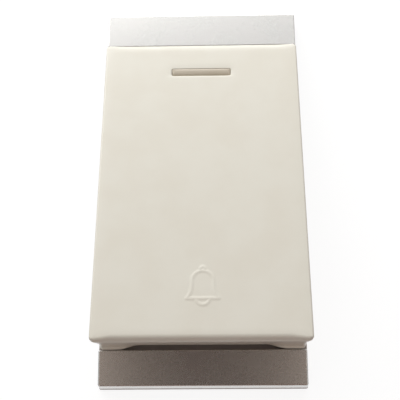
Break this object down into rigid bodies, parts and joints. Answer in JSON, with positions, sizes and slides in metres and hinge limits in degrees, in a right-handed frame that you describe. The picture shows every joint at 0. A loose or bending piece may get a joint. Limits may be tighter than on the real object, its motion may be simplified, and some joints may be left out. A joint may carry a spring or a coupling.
{
  "type": "doorbell push button",
  "caption": "Wall doorbell push: a wedge-shaped ivory push cover with a light bar and bell mark, pivoting on a shallow silver base that holds a battery transmitter.",
  "frame": {"origin": "middle of the flat back face, in the plane that lies against the wall", "axes": "+X to the right seen from the front, +Y towards the upper end, +Z out of the wall"},
  "size_m": [0.0466, 0.091, 0.0204],
  "materials": {
    "silver_base": "metallic silver lacquer, glossy",
    "ivory_cover": "fine satin gloss",
    "tan_lens": "translucent, glossy",
    "board_green": "solder mask",
    "zinc_screw": "zinc plated",
    "black_plastic": "moulded",
    "tinned_steel": "tinned",
    "plunger_black": "moulded",
    "white_package": "moulded",
    "amber_window": "clear resin",
    "nickel_can": "nickel plated",
    "enamelled_copper": "enamelled copper",
    "disc_orange": "dipped ceramic",
    "bare_aluminium": "drawn",
    "dark_sleeve": "shrunk sleeve",
    "resistor_tan": "lacquered",
    "gilt_pins": "gold flash",
    "jumper_blue": "moulded",
    "battery_sleeve": "plain printed sleeve over steel",
    "contact_metal": "nickel plated",
    "spring_steel": "drawn wire"
  },
  "bodies": {
    "base": {"base_housing": "silver_base", "circuit_board": "board_green", "board_screws": "zinc_screw", "switch_body": "black_plastic", "switch_top_plate": "tinned_steel", "switch_dome": "tinned_steel", "switch_legs": "tinned_steel", "led_body": "white_package", "led_window": "amber_window", "encoder_chip": "black_plastic", "encoder_legs": "tinned_steel", "radio_resonator": "nickel_can", "radio_transistor": "black_plastic", "transistor_legs": "tinned_steel", "antenna_coil": "enamelled_copper", "disc_capacitors": "disc_orange", "capacitor_leads": "tinned_steel", "electrolytic_can": "bare_aluminium", "electrolytic_sleeve": "dark_sleeve", "resistors": "resistor_tan", "resistor_leads": "tinned_steel", "melody_header": "black_plastic", "header_pins": "gilt_pins", "melody_jumper": "jumper_blue", "battery_can": "battery_sleeve", "battery_cap": "nickel_can", "positive_contact": "contact_metal", "negative_contact": "contact_metal", "negative_spring": "contact_metal", "return_spring": "spring_steel"},
    "cover": {"push_cover": "ivory_cover", "light_bar": "tan_lens"},
    "plunger": {"switch_plunger": "plunger_black"}
  },
  "joints": [
    {"name": "cover_press", "type": "hinge", "parent": "base", "child": "cover", "pos_m": [0, 0.026, 0.0052], "axis": [1, 0, 0], "range_deg": [0, 0.9], "stiffness_Nm_per_rad": 3, "springref_deg": -1.72, "deforming": ["return_spring"]},
    {"name": "switch_travel", "type": "slide", "parent": "base", "child": "plunger", "axis": [0, 0, -1], "range_m": [0, 0.00026]}
  ],
  "couplings": [
    {"joint": "switch_travel", "follows": "cover_press", "m_per_rad": 0.015909}
  ]
}
